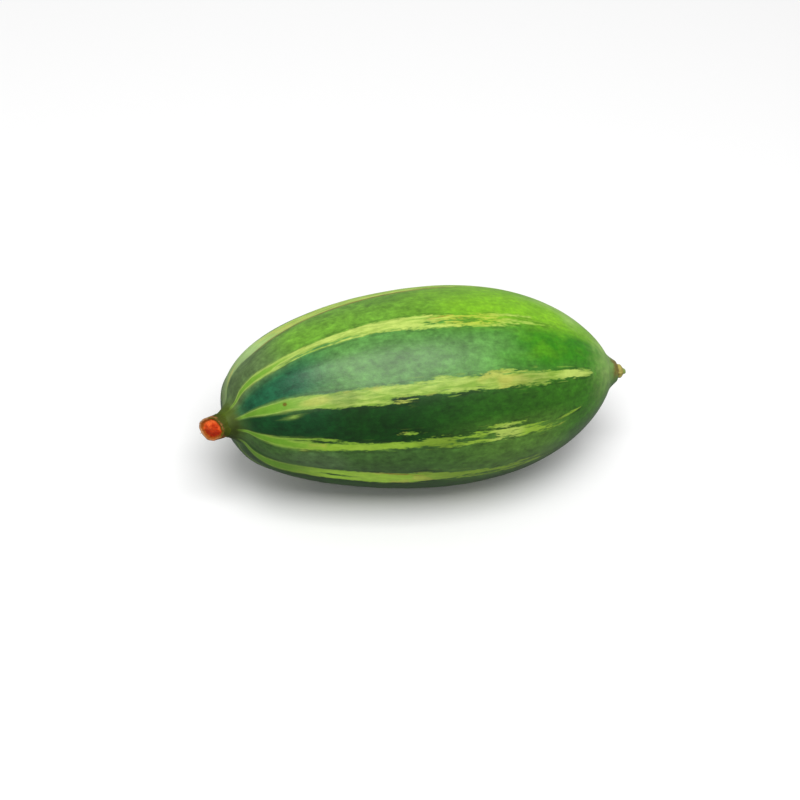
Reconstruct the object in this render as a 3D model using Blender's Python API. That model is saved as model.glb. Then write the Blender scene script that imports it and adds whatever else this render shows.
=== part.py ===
"""A plump striped pointed gourd, picked with a short cut stem stub and lying on its side.

The fruit lies along X: the stem end at -X, the blossom end at +X. +Z is up and the table is z = 0.
Three pieces: the fruit, the cut stem stub set in its stem end, and the dried remnant of the flower
set in its blossom end. Everything is in metres.
"""

import math

import bmesh
import bpy
from mathutils import Vector, geometry

# The fruit
FRUIT_LENGTH = 0.0780  # from the stem pole to the blossom pole
FRUIT_DIAMETER = 0.0400  # across the widest ring
STEM_END_POWER = 0.341  # a lower power makes a blunter end
BLOSSOM_END_POWER = 0.599
TAPER = 0.053  # moves the widest ring towards the blossom end
LEAN = 0.0060  # how far the stem pole curves off the long axis
LEAN_REACH = 0.0420  # the length of fruit that curves
LEAN_RISE = math.radians(10.6)  # it curves to -Y, and this much upwards
PANELS = 10  # faint swollen panels between the stripes
PANEL_SWELL = 0.00022  # their height on the shoulder at the stem end
PANEL_SWELL_MIDDLE = 0.00005
PANEL_SHOULDER_TURN = 0.75
PANEL_SHOULDER_SPREAD = 0.50
PANEL_FADE_RADIUS = 0.010  # the panels fade out where the fruit is narrower than this
PANEL_CREST_ANGLE = math.radians(37.0)
FLAT_SPOT_SINK = 0.0003  # how much of the lowest belly the flat resting spot takes off

# The beak at the blossom end, and the seats that the two small pieces sit in
BEAK_ROOT_RADIUS = 0.0034
BEAK_LENGTH = 0.0010
BEAK_END_RADIUS = 0.0017
BEAK_END_SLOPE = -0.35  # change of radius along the axis there
STEM_SEAT_MOUTH_RADIUS = 0.0039
STEM_SEAT_FLOOR_RADIUS = 0.0028
STEM_SEAT_STEP = 0.0008
STEM_SEAT_DEPTH = 0.0013
REMNANT_SEAT_RADIUS = 0.0013
REMNANT_SEAT_DEPTH = 0.0007
SEAT_GAP = 0.0003

# The cut stem stub: its radius at each height above the fruit's skin, from its foot to the cut. The
# knife went through at a slant, so the stub is longest on one side.
STEM_OUTLINE = (
    (-0.0001, 0.0036),
    (0.0006, 0.0031),
    (0.0014, 0.0027),
    (0.0024, 0.0025),
    (0.0036, 0.0025),
    (0.0045, 0.0026),
    (0.0049, 0.0025),
)
STEM_CUT_HEIGHT, STEM_CUT_RADIUS = STEM_OUTLINE[-1]
STEM_LIP_RADIUS = 0.0021
STEM_CUP_RADIUS = 0.0017
STEM_CUP_DEPTH = 0.0005
STEM_CUT_SLANT = 0.00145  # how far the cut rises from its middle to its highest edge
STEM_LONG_SIDE_ANGLE = math.radians(210.0)  # where on the ring that edge is
STEM_CORNERS = 4
STEM_CORNER_ANGLE = math.radians(7.0)
STEM_CORNER_SHARE = 0.05  # how far a corner stands out at the cut, as a share of the radius

# The dried remnant: its radius at each height above the beak's end
REMNANT_OUTLINE = (
    (0.0000, 0.0010),
    (0.0003, 0.0013),
    (0.0008, 0.0013),
    (0.0012, 0.0010),
    (0.0014, 0.0005),
    (0.0019, 0.0003),
)
REMNANT_HEIGHT = 0.0021

# How finely the solids are faceted
FRUIT_SEGMENTS = 80
FRUIT_RINGS = 34
BEAK_RINGS = 6
STEM_SEGMENTS = 40
REMNANT_SEGMENTS = 24
STEPS_BETWEEN_POINTS = 3
SHARP_EDGE_ANGLE = math.radians(35.0)

# Finishes: colour and roughness
FRUIT_FINISH = ((0.060, 0.190, 0.035, 1.0), 0.38)
STEM_FINISH = ((0.420, 0.130, 0.030, 1.0), 0.70)
REMNANT_FINISH = ((0.300, 0.220, 0.070, 1.0), 0.80)


def mix(a, b, share):
    return a + (b - a) * share


def clear_scene():
    for old in list(bpy.data.objects):
        bpy.data.objects.remove(old)


# Turns run from 0 at the stem pole to pi at the blossom pole, as on a sphere


def profile_shape(turn):
    """The fruit's radius before it is scaled to the real diameter."""
    along = -math.cos(turn)
    power = mix(STEM_END_POWER, BLOSSOM_END_POWER, (along + 1) / 2)
    return math.sin(turn) ** (2 * power) * (1 + TAPER * along)


SAMPLES = 720
WIDEST_SHAPE = max(profile_shape(math.pi * i / SAMPLES) for i in range(1, SAMPLES))


def fruit_radius(turn):
    return FRUIT_DIAMETER / 2 * profile_shape(turn) / WIDEST_SHAPE


def fruit_distance(turn):
    """Distance from the stem pole, measured along X."""
    return FRUIT_LENGTH * (1 - math.cos(turn)) / 2


def turn_at_radius(radius, low, high):
    """The turn between low and high where the fruit has that radius, found by halving."""
    rising = fruit_radius(high) > fruit_radius(low)
    for _ in range(50):
        middle = (low + high) / 2
        if (fruit_radius(middle) < radius) == rising:
            low = middle
        else:
            high = middle
    return (low + high) / 2


LEAN_DIRECTION = Vector((0.0, -math.cos(LEAN_RISE), math.sin(LEAN_RISE)))


def centre_at(distance):
    """The fruit's centreline: straight at the blossom end, and curved to one side at the stem end."""
    left = max(0.0, 1 - distance / LEAN_REACH)
    return Vector((distance - FRUIT_LENGTH / 2, 0.0, 0.0)) + LEAN * left**3 * LEAN_DIRECTION


def direction_at(distance):
    """The direction of the centreline, towards the blossom end."""
    left = max(0.0, 1 - distance / LEAN_REACH)
    return (Vector((1.0, 0.0, 0.0)) - 3 * LEAN / LEAN_REACH * left**2 * LEAN_DIRECTION).normalized()


def ring(centre, direction, segments, radius_at, height_at=None):
    """A ring square to a direction. Angle 0 points to the side and a quarter turn points up."""
    side = Vector((0, 0, 1)).cross(direction).normalized()
    up = direction.cross(side)
    points = []
    for i in range(segments):
        angle = 2 * math.pi * i / segments
        out = side * math.cos(angle) + up * math.sin(angle)
        height = height_at(angle) if height_at else 0.0
        points.append(centre + out * radius_at(angle) + direction * height)
    return points


def round_ring(centre, direction, segments, radius):
    return ring(centre, direction, segments, lambda angle: radius)


def solid_from_rings(rings, first_middle, last_middle):
    """A closed mesh through rings of equally many points, closed at each end by a fan to a middle."""
    shape = bmesh.new()
    loops = [[shape.verts.new(point) for point in points] for points in rings]
    count = len(rings[0])
    for loop, following in zip(loops, loops[1:]):
        for i in range(count):
            j = (i + 1) % count
            shape.faces.new((loop[i], loop[j], following[j], following[i]))
    for loop, middle in ((loops[0], first_middle), (loops[-1], last_middle)):
        hub = shape.verts.new(middle)
        for i in range(count):
            shape.faces.new((loop[i], loop[(i + 1) % count], hub))
    bmesh.ops.recalc_face_normals(shape, faces=shape.faces)
    return shape


def smooth_outline(points):
    """A Catmull-Rom curve through (height, radius) points."""
    through = [Vector(point) for point in points]
    padded = [2 * through[0] - through[1], *through, 2 * through[-1] - through[-2]]
    curve = []
    for before, start, end, after in zip(padded, padded[1:], padded[2:], padded[3:]):
        leave = (end - before) / 2
        arrive = (after - start) / 2
        for step in range(STEPS_BETWEEN_POINTS):
            t = step / STEPS_BETWEEN_POINTS
            bend = start * (2 * t**3 - 3 * t**2 + 1) + end * (3 * t**2 - 2 * t**3)
            curve.append(bend + leave * (t**3 - 2 * t**2 + t) + arrive * (t**3 - t**2))
    return [*curve, through[-1]]


def make_object(name, shape, finish, parent):
    mesh = bpy.data.meshes.new(name)
    shape.to_mesh(mesh)
    shape.free()
    mesh.shade_smooth()
    mesh.set_sharp_from_angle(angle=SHARP_EDGE_ANGLE)
    colour, roughness = finish
    material = bpy.data.materials.new(name)
    material.use_nodes = True
    surface = material.node_tree.nodes["Principled BSDF"]
    surface.inputs["Base Color"].default_value = colour
    surface.inputs["Roughness"].default_value = roughness
    surface.inputs["Metallic"].default_value = 0.0
    mesh.materials.append(material)
    made = bpy.data.objects.new(name, mesh)
    bpy.context.scene.collection.objects.link(made)
    made.parent = parent
    return made


# The fruit


def panel_relief(turn, angle):
    """The faint swelling of the panels, strongest on the shoulder at the stem end."""
    shoulder = math.exp(-(((turn - PANEL_SHOULDER_TURN) / PANEL_SHOULDER_SPREAD) ** 2))
    height = mix(PANEL_SWELL_MIDDLE, PANEL_SWELL, shoulder)
    height *= min(1.0, fruit_radius(turn) / PANEL_FADE_RADIUS)
    return height * math.cos(PANELS * (angle - PANEL_CREST_ANGLE))


def beak_outline(first_turn):
    """(distance past the blossom pole, radius), from the fruit's skin out to the beak's end."""
    step = 1e-4
    start = Vector((fruit_distance(first_turn) - FRUIT_LENGTH, fruit_radius(first_turn)))
    before = first_turn - step
    arriving_from = Vector((fruit_distance(before) - FRUIT_LENGTH, fruit_radius(before)))
    end = Vector((BEAK_LENGTH, BEAK_END_RADIUS))
    reach = (end - start).length / 3
    leave = (start - arriving_from).normalized() * reach
    arrive = Vector((1.0, BEAK_END_SLOPE)).normalized() * reach
    return geometry.interpolate_bezier(start, start + leave, end - arrive, end, BEAK_RINGS)[1:]


def fruit_shape():
    """One body: the floor of the stem's seat, the skin, the beak, and the remnant's seat in it."""
    pole = centre_at(0)
    inward = direction_at(0)
    stem_floor = pole + inward * STEM_SEAT_DEPTH
    rings = [
        round_ring(stem_floor, inward, FRUIT_SEGMENTS, STEM_SEAT_FLOOR_RADIUS),
        round_ring(pole + inward * STEM_SEAT_STEP, inward, FRUIT_SEGMENTS, STEM_SEAT_FLOOR_RADIUS),
    ]

    first = turn_at_radius(STEM_SEAT_MOUTH_RADIUS, 0, math.pi / 2)
    last = turn_at_radius(BEAK_ROOT_RADIUS, math.pi / 2, math.pi)
    for i in range(FRUIT_RINGS):
        turn = mix(first, last, i / (FRUIT_RINGS - 1))
        distance = fruit_distance(turn)

        def skin(angle, turn=turn):
            return fruit_radius(turn) + panel_relief(turn, angle)

        rings.append(ring(centre_at(distance), direction_at(distance), FRUIT_SEGMENTS, skin))

    tip = centre_at(FRUIT_LENGTH)
    onward = direction_at(FRUIT_LENGTH)
    remnant_floor = BEAK_LENGTH - REMNANT_SEAT_DEPTH
    seat = [(BEAK_LENGTH, REMNANT_SEAT_RADIUS), (remnant_floor, REMNANT_SEAT_RADIUS)]
    for distance, radius in [*beak_outline(last), *seat]:
        rings.append(round_ring(tip + onward * distance, onward, FRUIT_SEGMENTS, radius))
    return solid_from_rings(rings, stem_floor, tip + onward * remnant_floor)


def cut_flat_spot(shape):
    """Slices a thin cap off the belly, which leaves one flat oval to rest on. Returns its height."""
    height = min(vertex.co.z for vertex in shape.verts) + FLAT_SPOT_SINK
    whole = [*shape.verts, *shape.edges, *shape.faces]
    cut = bmesh.ops.bisect_plane(
        shape, geom=whole, dist=1e-7, plane_co=(0, 0, height), plane_no=(0, 0, -1), clear_outer=True
    )
    rim = [found for found in cut["geom_cut"] if isinstance(found, bmesh.types.BMEdge)]
    bmesh.ops.contextual_create(shape, geom=rim)
    bmesh.ops.recalc_face_normals(shape, faces=shape.faces)
    return height


# The two small pieces


def stem_shape():
    """The stub's root fills its seat, four soft corners run up it, and its cut is a slanted cup."""
    pole = centre_at(0)
    outward = -direction_at(0)
    root_floor = SEAT_GAP - STEM_SEAT_DEPTH
    root_radius = STEM_SEAT_FLOOR_RADIUS - SEAT_GAP
    cup_floor = STEM_CUT_HEIGHT - STEM_CUP_DEPTH
    root = [(root_floor, root_radius), (-STEM_SEAT_STEP, root_radius)]
    cup = [(STEM_CUT_HEIGHT, STEM_LIP_RADIUS), (cup_floor, STEM_CUP_RADIUS)]
    # Corners and slant grow from nothing at the foot to their full size at the cut
    stations = [(height, radius, 0.0) for height, radius in root]
    for height, radius in smooth_outline(STEM_OUTLINE):
        stations.append((height, radius, max(0.0, height / STEM_CUT_HEIGHT)))
    stations += [(height, radius, 1.0) for height, radius in cup]
    rings = []
    for height, radius, grown in stations:

        def cornered(angle, radius=radius, grown=grown):
            corner = math.cos(STEM_CORNERS * (angle - STEM_CORNER_ANGLE))
            return radius * (1 + STEM_CORNER_SHARE * grown * corner)

        def slanted(angle, radius=radius, grown=grown):
            across = math.cos(angle - STEM_LONG_SIDE_ANGLE) * radius / STEM_CUT_RADIUS
            return STEM_CUT_SLANT * grown**2 * across

        rings.append(ring(pole + outward * height, outward, STEM_SEGMENTS, cornered, slanted))
    return solid_from_rings(rings, pole + outward * root_floor, pole + outward * cup_floor)


def remnant_shape():
    """The dried flower remnant: a short round stub that ends in a small point, rooted in the beak."""
    onward = direction_at(FRUIT_LENGTH)
    beak_end = centre_at(FRUIT_LENGTH) + onward * BEAK_LENGTH
    root_floor = SEAT_GAP - REMNANT_SEAT_DEPTH
    stations = [(root_floor, REMNANT_OUTLINE[0][1]), *smooth_outline(REMNANT_OUTLINE)]
    rings = []
    for height, radius in stations:
        rings.append(round_ring(beak_end + onward * height, onward, REMNANT_SEGMENTS, radius))
    return solid_from_rings(rings, beak_end + onward * root_floor, beak_end + onward * REMNANT_HEIGHT)


def set_on_table(origin, pieces, belly_height):
    """Puts the shared origin under the middle of the whole gourd, level with the flat spot."""
    points = [vertex.co for piece in pieces for vertex in piece.data.vertices]
    middle_x = (min(p.x for p in points) + max(p.x for p in points)) / 2
    middle_y = (min(p.y for p in points) + max(p.y for p in points)) / 2
    origin.location = (-middle_x, -middle_y, -belly_height)


def main():
    clear_scene()
    origin = bpy.data.objects.new("gourd_origin", None)
    bpy.context.scene.collection.objects.link(origin)
    fruit = fruit_shape()
    belly_height = cut_flat_spot(fruit)
    pieces = [
        make_object("fruit", fruit, FRUIT_FINISH, origin),
        make_object("stem_stub", stem_shape(), STEM_FINISH, origin),
        make_object("blossom_remnant", remnant_shape(), REMNANT_FINISH, origin),
    ]
    set_on_table(origin, pieces, belly_height)


main()
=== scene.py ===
# %% [markdown]
# # A striped pointed gourd
#
# This lesson dresses a plain solid model of a pointed gourd. The solid has the right size and place.
# Here it gets a finer skin, a fibrous cut stem, a dried flower remnant and their finishes.
#
# The first step loads the solid model, which stays the measure for everything that follows.

import math

import bmesh
import bpy
import numpy as np
from mathutils import Matrix, Vector


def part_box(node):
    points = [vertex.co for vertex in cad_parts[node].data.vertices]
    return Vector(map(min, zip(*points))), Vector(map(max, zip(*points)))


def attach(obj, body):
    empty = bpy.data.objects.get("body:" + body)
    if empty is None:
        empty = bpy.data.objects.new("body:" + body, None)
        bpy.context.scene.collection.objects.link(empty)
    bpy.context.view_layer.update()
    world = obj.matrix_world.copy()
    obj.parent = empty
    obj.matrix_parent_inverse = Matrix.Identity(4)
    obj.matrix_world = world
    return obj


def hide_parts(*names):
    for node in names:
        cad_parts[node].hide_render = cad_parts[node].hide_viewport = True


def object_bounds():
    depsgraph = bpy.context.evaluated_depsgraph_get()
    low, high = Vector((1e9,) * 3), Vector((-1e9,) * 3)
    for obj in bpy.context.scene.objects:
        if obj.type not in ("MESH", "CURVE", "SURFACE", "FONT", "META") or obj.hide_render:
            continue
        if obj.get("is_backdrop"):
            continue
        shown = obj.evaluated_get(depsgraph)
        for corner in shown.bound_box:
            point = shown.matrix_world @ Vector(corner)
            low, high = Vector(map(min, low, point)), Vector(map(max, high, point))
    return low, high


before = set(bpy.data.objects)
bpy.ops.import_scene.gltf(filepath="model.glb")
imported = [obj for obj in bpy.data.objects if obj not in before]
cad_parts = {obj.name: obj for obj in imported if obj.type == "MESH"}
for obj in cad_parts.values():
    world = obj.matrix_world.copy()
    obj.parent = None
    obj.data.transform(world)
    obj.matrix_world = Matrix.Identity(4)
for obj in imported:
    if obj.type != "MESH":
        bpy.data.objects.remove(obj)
cad_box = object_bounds()
fruit_low, fruit_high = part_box("fruit")
print("solid model, mm:", [round(1000 * side, 1) for side in cad_box[1] - cad_box[0]])

# %% [markdown]
# ## Sizes
#
# The fruit could be sculpted, but then its sizes would be hard to change. Here it is a ball whose
# rings are moved along a curved line and scaled by a formula. A few sizes drive it, and its place is
# read from the solid model. Angles round the fruit start at +Y and go up over the top: 90 degrees is
# the top, 180 is the side that faces the camera, 270 is the belly.

# %% Name the sizes of the fruit
MM = 0.001

FRUIT_LENGTH = 78.0 * MM
FRUIT_DIAMETER = 40.0 * MM
STEM_END_POWER = 0.341
BLOSSOM_END_POWER = 0.599
TAPER = 0.053
LEAN = 6.0 * MM
LEAN_REACH = 42.0 * MM
LEAN_RISE = math.radians(10.6)
BEAK_LENGTH = 1.0 * MM

AXIS_Y = (fruit_low.y + fruit_high.y) / 2
AXIS_Z = fruit_high.z - FRUIT_DIAMETER / 2
STEM_POLE_X = fruit_high.x - BEAK_LENGTH - FRUIT_LENGTH
LEAN_DIRECTION = Vector((0.0, -math.cos(LEAN_RISE), math.sin(LEAN_RISE)))


def centre_at(distance):
    """The middle of the fruit at a distance from the stem pole."""
    left = max(0.0, 1 - distance / LEAN_REACH)
    return Vector((STEM_POLE_X + distance, AXIS_Y, AXIS_Z)) + LEAN * left**3 * LEAN_DIRECTION


def direction_at(distance):
    """The direction of the fruit's middle line there, towards the blossom end."""
    left = max(0.0, 1 - distance / LEAN_REACH)
    return (Vector((1.0, 0.0, 0.0)) - 3 * LEAN / LEAN_REACH * left**2 * LEAN_DIRECTION).normalized()


print("stem pole, mm:", [round(v / MM, 2) for v in centre_at(0)])
print("blossom pole, mm:", [round(v / MM, 2) for v in centre_at(FRUIT_LENGTH)])

# %% [markdown]
# ## Formulas as nodes
#
# Both the shape and the finishes below are formulas. Node trees written link by link are hard to
# read, and one function for each node would be long. So one small class wraps a socket: arithmetic
# on it adds Math nodes, and its method `node` adds any other node. It serves both kinds of tree.

# %% Wrap a socket, so that formulas read as Python


class Wire:
    """A socket in a node tree, or just the tree. Arithmetic on it adds Math nodes."""

    def __init__(self, tree, socket=None):
        self.tree = tree
        self.socket = socket

    def node(self, kind, settings=None, inputs=None, output=0):
        """Adds a node: first its settings, then the values or links of its sockets."""
        made = self.tree.nodes.new(kind)
        for name, value in (settings or {}).items():
            if name == "stops":
                set_stops(made.color_ramp, value)
            elif name == "points":
                set_points(made.mapping, value)
            else:
                setattr(made, name, value)
        for key, value in (inputs or {}).items():
            if isinstance(value, Wire):
                self.tree.links.new(value.socket, made.inputs[key])
            else:
                made.inputs[key].default_value = value
        return Wire(self.tree, made.outputs[output]) if made.outputs else None

    def out(self, name):
        """Another output of the same node."""
        return Wire(self.tree, self.socket.node.outputs[name])

    def math(self, operation, *values, clamp=False):
        settings = {"operation": operation, "use_clamp": clamp}
        return self.node("ShaderNodeMath", settings, dict(enumerate(values)))

    def __add__(self, other):
        return self.math("ADD", self, other)

    def __sub__(self, other):
        return self.math("SUBTRACT", self, other)

    def __rsub__(self, other):
        return self.math("SUBTRACT", other, self)

    def __mul__(self, other):
        return self.math("MULTIPLY", self, other)

    def __truediv__(self, other):
        return self.math("DIVIDE", self, other)

    def __pow__(self, other):
        return self.math("POWER", self, other)

    __radd__ = __add__
    __rmul__ = __mul__


print("sockets can be wrapped")

# %% Let it set ramps and curves


def set_stops(ramp, stops):
    """Gives a colour ramp its stops: (place, colour) pairs."""
    while len(ramp.elements) < len(stops):
        ramp.elements.new(1.0)
    for element, (place, colour) in zip(ramp.elements, stops):
        element.position = place
        element.color = colour


def set_points(mapping, points):
    """Gives a curve its points: (place, value) pairs from 0 to 1."""
    curve = mapping.curves[0]
    while len(curve.points) < len(points):
        curve.points.new(0.5, 0.5)
    for point, (place, value) in zip(curve.points, points):
        point.location = (place, value)
        point.handle_type = "AUTO_CLAMPED"
    mapping.update()


print("ramps and curves can be set")

# %% Name the formulas' functions


def sin(value):
    return value.math("SINE", value)


def cos(value):
    return value.math("COSINE", value)


def clamp(value):
    return value.math("ADD", value, 0.0, clamp=True)


def larger(a, b):
    return a.math("MAXIMUM", a, b)


def smaller(a, b):
    return a.math("MINIMUM", a, b)


def fade(value, start, end):
    """Goes smoothly from 0 where value is start to 1 where it is end. Start may be the larger one."""
    return value.node(
        "ShaderNodeMapRange",
        {"interpolation_type": "SMOOTHSTEP"},
        {"Value": value, "From Min": start, "From Max": end, "To Min": 0.0, "To Max": 1.0},
    )


def combine(root, x, y, z):
    return root.node("ShaderNodeCombineXYZ", None, {0: x, 1: y, 2: z})


def separate(vector):
    parts = vector.node("ShaderNodeSeparateXYZ", None, {0: vector})
    return parts, parts.out("Y"), parts.out("Z")


def vector_math(operation, *values, output=0):
    root = next(value for value in values if isinstance(value, Wire))
    settings = {"operation": operation}
    return root.node("ShaderNodeVectorMath", settings, dict(enumerate(values)), output)


def stretched(vector, length):
    """The vector multiplied by a number. One of the two may be plain."""
    root = vector if isinstance(vector, Wire) else length
    vector = vector if isinstance(vector, Wire) else vector[:3]
    return root.node("ShaderNodeVectorMath", {"operation": "SCALE"}, {"Vector": vector, "Scale": length})


def dot(a, b):
    return vector_math("DOT_PRODUCT", a, b, output="Value")


print("formulas ready")

# %% [markdown]
# ## From a tree to a mesh
#
# A Geometry Nodes tree is started with named inputs for its sizes. Its modifier gets their values by
# each socket's identifier, and the result is kept as a plain mesh, so nothing live stays on a piece.
# The tree could stay on the piece as a modifier, but then its instances would be lost in an export.

# %% Start a shape tree, and keep its result
SOCKET_KINDS = {int: "NodeSocketInt", float: "NodeSocketFloat"}


def start_shape(name, sizes):
    """A shape tree with a named input for each size. Returns the tree and a Wire for each input."""
    tree = bpy.data.node_groups.new(name, "GeometryNodeTree")
    for label, value in sizes.items():
        tree.interface.new_socket(label, in_out="INPUT", socket_type=SOCKET_KINDS[type(value)])
    tree.interface.new_socket("Geometry", in_out="OUTPUT", socket_type="NodeSocketGeometry")
    root = Wire(tree)
    given = root.node("NodeGroupInput")
    return root, {label: given.out(label) for label in sizes}


def keep_shape(root, geometry, material, name, sizes):
    """Ends the tree, evaluates it once on a new object and keeps the plain mesh."""
    whole = root.node("GeometryNodeRealizeInstances", None, {"Geometry": geometry})
    finished = root.node("GeometryNodeSetMaterial", None, {"Geometry": whole, "Material": material})
    root.node("NodeGroupOutput", None, {"Geometry": finished})
    piece = bpy.data.objects.new(name, bpy.data.meshes.new(name))
    bpy.context.scene.collection.objects.link(piece)
    modifier = piece.modifiers.new("shape", "NODES")
    modifier.node_group = root.tree
    for item in root.tree.interface.items_tree:
        if item.in_out == "INPUT":
            modifier[item.identifier] = sizes[item.name]
    evaluated = piece.evaluated_get(bpy.context.evaluated_depsgraph_get())
    mesh = bpy.data.meshes.new_from_object(evaluated)
    mesh.name = name
    piece.modifiers.remove(modifier)
    piece.data = mesh
    print(name, "has", sum(len(face.vertices) - 2 for face in mesh.polygons), "triangles")
    return piece


# %% [markdown]
# ## The stripes
#
# Ten pale stripes run from the stem to the blossom end. Noise alone could make stripes, but not these
# ones in these places. So each is a line with a path and a width, both given by a few points: the
# distance from the stem pole in mm, then an angle round the fruit or half the stripe's width in mm.
# The five in view are listed one by one. The others follow a rule, because on a real fruit they differ only
# a little. Near their ends stripes break up into slivers, which are short stripes of their own.

# %% List the stripes
STRIPE_REACH = 80.0  # mm along the fruit that a curve covers
WIDTH_RANGE = 5.0  # mm, the widest half width that a curve can give
ANGLE_RANGE = 40.0  # degrees that a path can stray in all
STEM_BEND = 20.0  # degrees that a stripe bends at most round the stem's foot
STEM_BEND_ANGLE = 170.0
MERIDIAN_RADIUS = 20.0  # mm: the widths hold where the fruit's radius is this
END_SLOPE = 0.35  # how fast a line's depth falls past its ends
SLIVER_FRAY = 0.3

# Path (mm, degrees), half width (mm, mm) and fray
FRONT_STRIPES = (
    (
        ((0, 83), (3, 89.5), (7, 92.8), (13, 93.3), (28, 93.3), (36, 94.5), (46, 96), (66, 96)),
        (
            (0, 1.3), (3, 1.7), (7, 1.6), (12, 1.35), (20, 1.5),
            (34, 1.55), (44, 1.4), (50, 1.0), (57, 0.6), (64, 0),
        ),
        0.9,
    ),
    (
        (
            (0, 128), (3, 131), (6, 131.8), (12, 134.2), (17, 136),
            (29, 136.3), (32, 135), (50, 133.8), (73, 133.2),
        ),
        (
            (0, 1.5), (3, 2.1), (11, 1.9), (29, 1.95), (31.5, 1.4),
            (50, 1.6), (60, 1.2), (68.5, 1.1), (70.3, 0.9), (71.3, 0),
        ),
        0.7,
    ),
    (
        ((0, 167), (4, 168.6), (10, 168.8), (14, 169.3), (26, 168.8), (40, 166.5), (55, 167), (60, 169)),
        (
            (0, 1.3), (3, 1.9), (7, 2.0), (11, 1.6), (15, 1.2),
            (26, 1.0), (36, 0.9), (50, 1.2), (58, 0.8), (64, 0),
        ),
        1.0,
    ),
    (
        ((0, 212), (5, 204.8), (10, 201), (18, 199.2), (32, 198.2), (38, 196), (46, 197), (62, 202)),
        ((0, 1.6), (5, 2.3), (15, 2.3), (32, 2.35), (40, 1.4), (52, 1.2), (63, 0)),
        0.7,
    ),
    (
        ((0, 24), (4, 40), (10, 49.8), (30, 50.5), (45, 49.5), (68, 49)),
        ((0, 4.9), (4, 4.9), (10, 3.3), (20, 2.9), (38, 2.6), (50, 2.1), (60, 1.4), (67, 0)),
        1.0,
    ),
)
# Angle, widest half width (mm), end (mm), sway (degrees), fray
OTHER_STRIPES = (
    (232.0, 1.50, 69.0, 1.5, 1.0),
    (267.0, 1.70, 66.0, -2.0, 0.9),
    (303.0, 1.30, 69.0, 1.8, 1.2),
    (338.0, 1.75, 70.0, -1.5, 0.8),
    (14.0, 1.35, 66.0, 2.0, 1.1),
)
# From and to (mm from the stem pole), angle there and there, half width (mm)
SLIVERS = (
    (5.4, 8.4, 143.4, 142.4, 0.32),
    (9, 18, 163.2, 165.2, 0.36),
    (9, 26, 95.8, 97.6, 0.45),
    (30, 49, 98.3, 99.8, 0.55),
    (27, 33, 141.0, 141.0, 0.40),
    (29, 35, 160.6, 160.2, 0.42),
    (37, 46, 170.5, 169.5, 0.35),
    (47, 57, 161.2, 160.0, 0.42),
    (53, 61, 164.5, 164.0, 0.40),
    (61, 68, 166.5, 163.5, 0.36),
    (46, 60, 92.0, 91.0, 0.42),
    (42, 56, 99.5, 99.8, 0.45),
    (47, 54, 128.6, 128.4, 0.42),
    (54, 61, 139.0, 138.6, 0.30),
    (36, 42, 129.8, 129.6, 0.34),
    (52, 62, 194.5, 196.0, 0.35),
    (46, 58, 237.0, 238.5, 0.40),
    (40, 52, 296.0, 294.5, 0.40),
    (30, 41, 343.5, 344.5, 0.42),
    (48, 60, 19.0, 20.0, 0.40),
)
# The same for dark gaps that split a stripe
GAPS = (
    (8, 25, 94.9, 95.5, 0.26),
    (37, 58, 95.3, 96.6, 0.42),
    (48, 62, 93.2, 93.8, 0.24),
    (6, 19, 165.2, 167.2, 0.26),
    (26, 36, 139.6, 139.0, 0.30),
    (40, 52, 166.6, 167.4, 0.26),
    (12, 22, 200.6, 200.0, 0.25),
    (44, 58, 198.0, 199.6, 0.30),
    (30, 46, 233.4, 231.4, 0.30),
    (36, 52, 302.4, 304.0, 0.30),
)
print(len(FRONT_STRIPES) + len(OTHER_STRIPES), "stripes and", len(SLIVERS), "slivers")

# %% Measure how deep a point is inside them


def stem_bend(angle):
    """How far the stem's foot bends a stripe that starts at an angle."""
    return STEM_BEND * math.sin(math.radians(angle - STEM_BEND_ANGLE))


def ruled_stripe(angle, half_width, end, sway, fray):
    """The path and width of a stripe that follows the rule."""
    path = ((0, angle + stem_bend(angle)), (8, angle), (24, angle + sway), (48, angle - sway), (end, angle))
    width = ((0, 0.5), (8, half_width * 0.75), (24, half_width), (end - 15, half_width * 0.9), (end, 0))
    return path, width, fray


def curve_at(along, points, low, span):
    """Reads a curve of (mm along the fruit, value) points."""
    shares = [(place / STRIPE_REACH, (value - low) / span) for place, value in points]
    read = along.node("ShaderNodeFloatCurve", {"points": shares}, {"Value": along / STRIPE_REACH})
    return read * span + low


def depth_in_line(root, along, angle_here, angle, half_width, start, end):
    """How deep a point is inside a line (mm), below 0 outside it. The angle is the line's, in degrees."""
    turned = angle_here - angle * math.radians(1)
    # The shortest way round
    turned = root.math("WRAP", turned, math.pi, -math.pi)
    offset = root.math("ABSOLUTE", turned) * MERIDIAN_RADIUS
    past_ends = larger(start - along, 0.0) + larger(along - end, 0.0)
    return half_width - offset - past_ends * END_SLOPE


def stripe_depth(root, along, angle_here, path, width):
    """How deep a point is inside a stripe."""
    middle_angle = (path[0][1] + path[-1][1]) / 2
    angle = curve_at(along, path, middle_angle - ANGLE_RANGE / 2, ANGLE_RANGE)
    half_width = curve_at(along, width, 0.0, WIDTH_RANGE)
    return depth_in_line(root, along, angle_here, angle, half_width, width[0][0], width[-1][0])


def sliver_depth(root, along, angle_here, row):
    """How deep a point is inside a sliver or a gap, which are straight and widest in their middle."""
    start, end, first, last, widest = row
    angle = (along - start) * ((last - first) / (end - start)) + first
    half_width = curve_at(along, ((start, 0), ((start + end) / 2, widest), (end, 0)), 0.0, WIDTH_RANGE)
    return depth_in_line(root, along, angle_here, angle, half_width, start, end)


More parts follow.
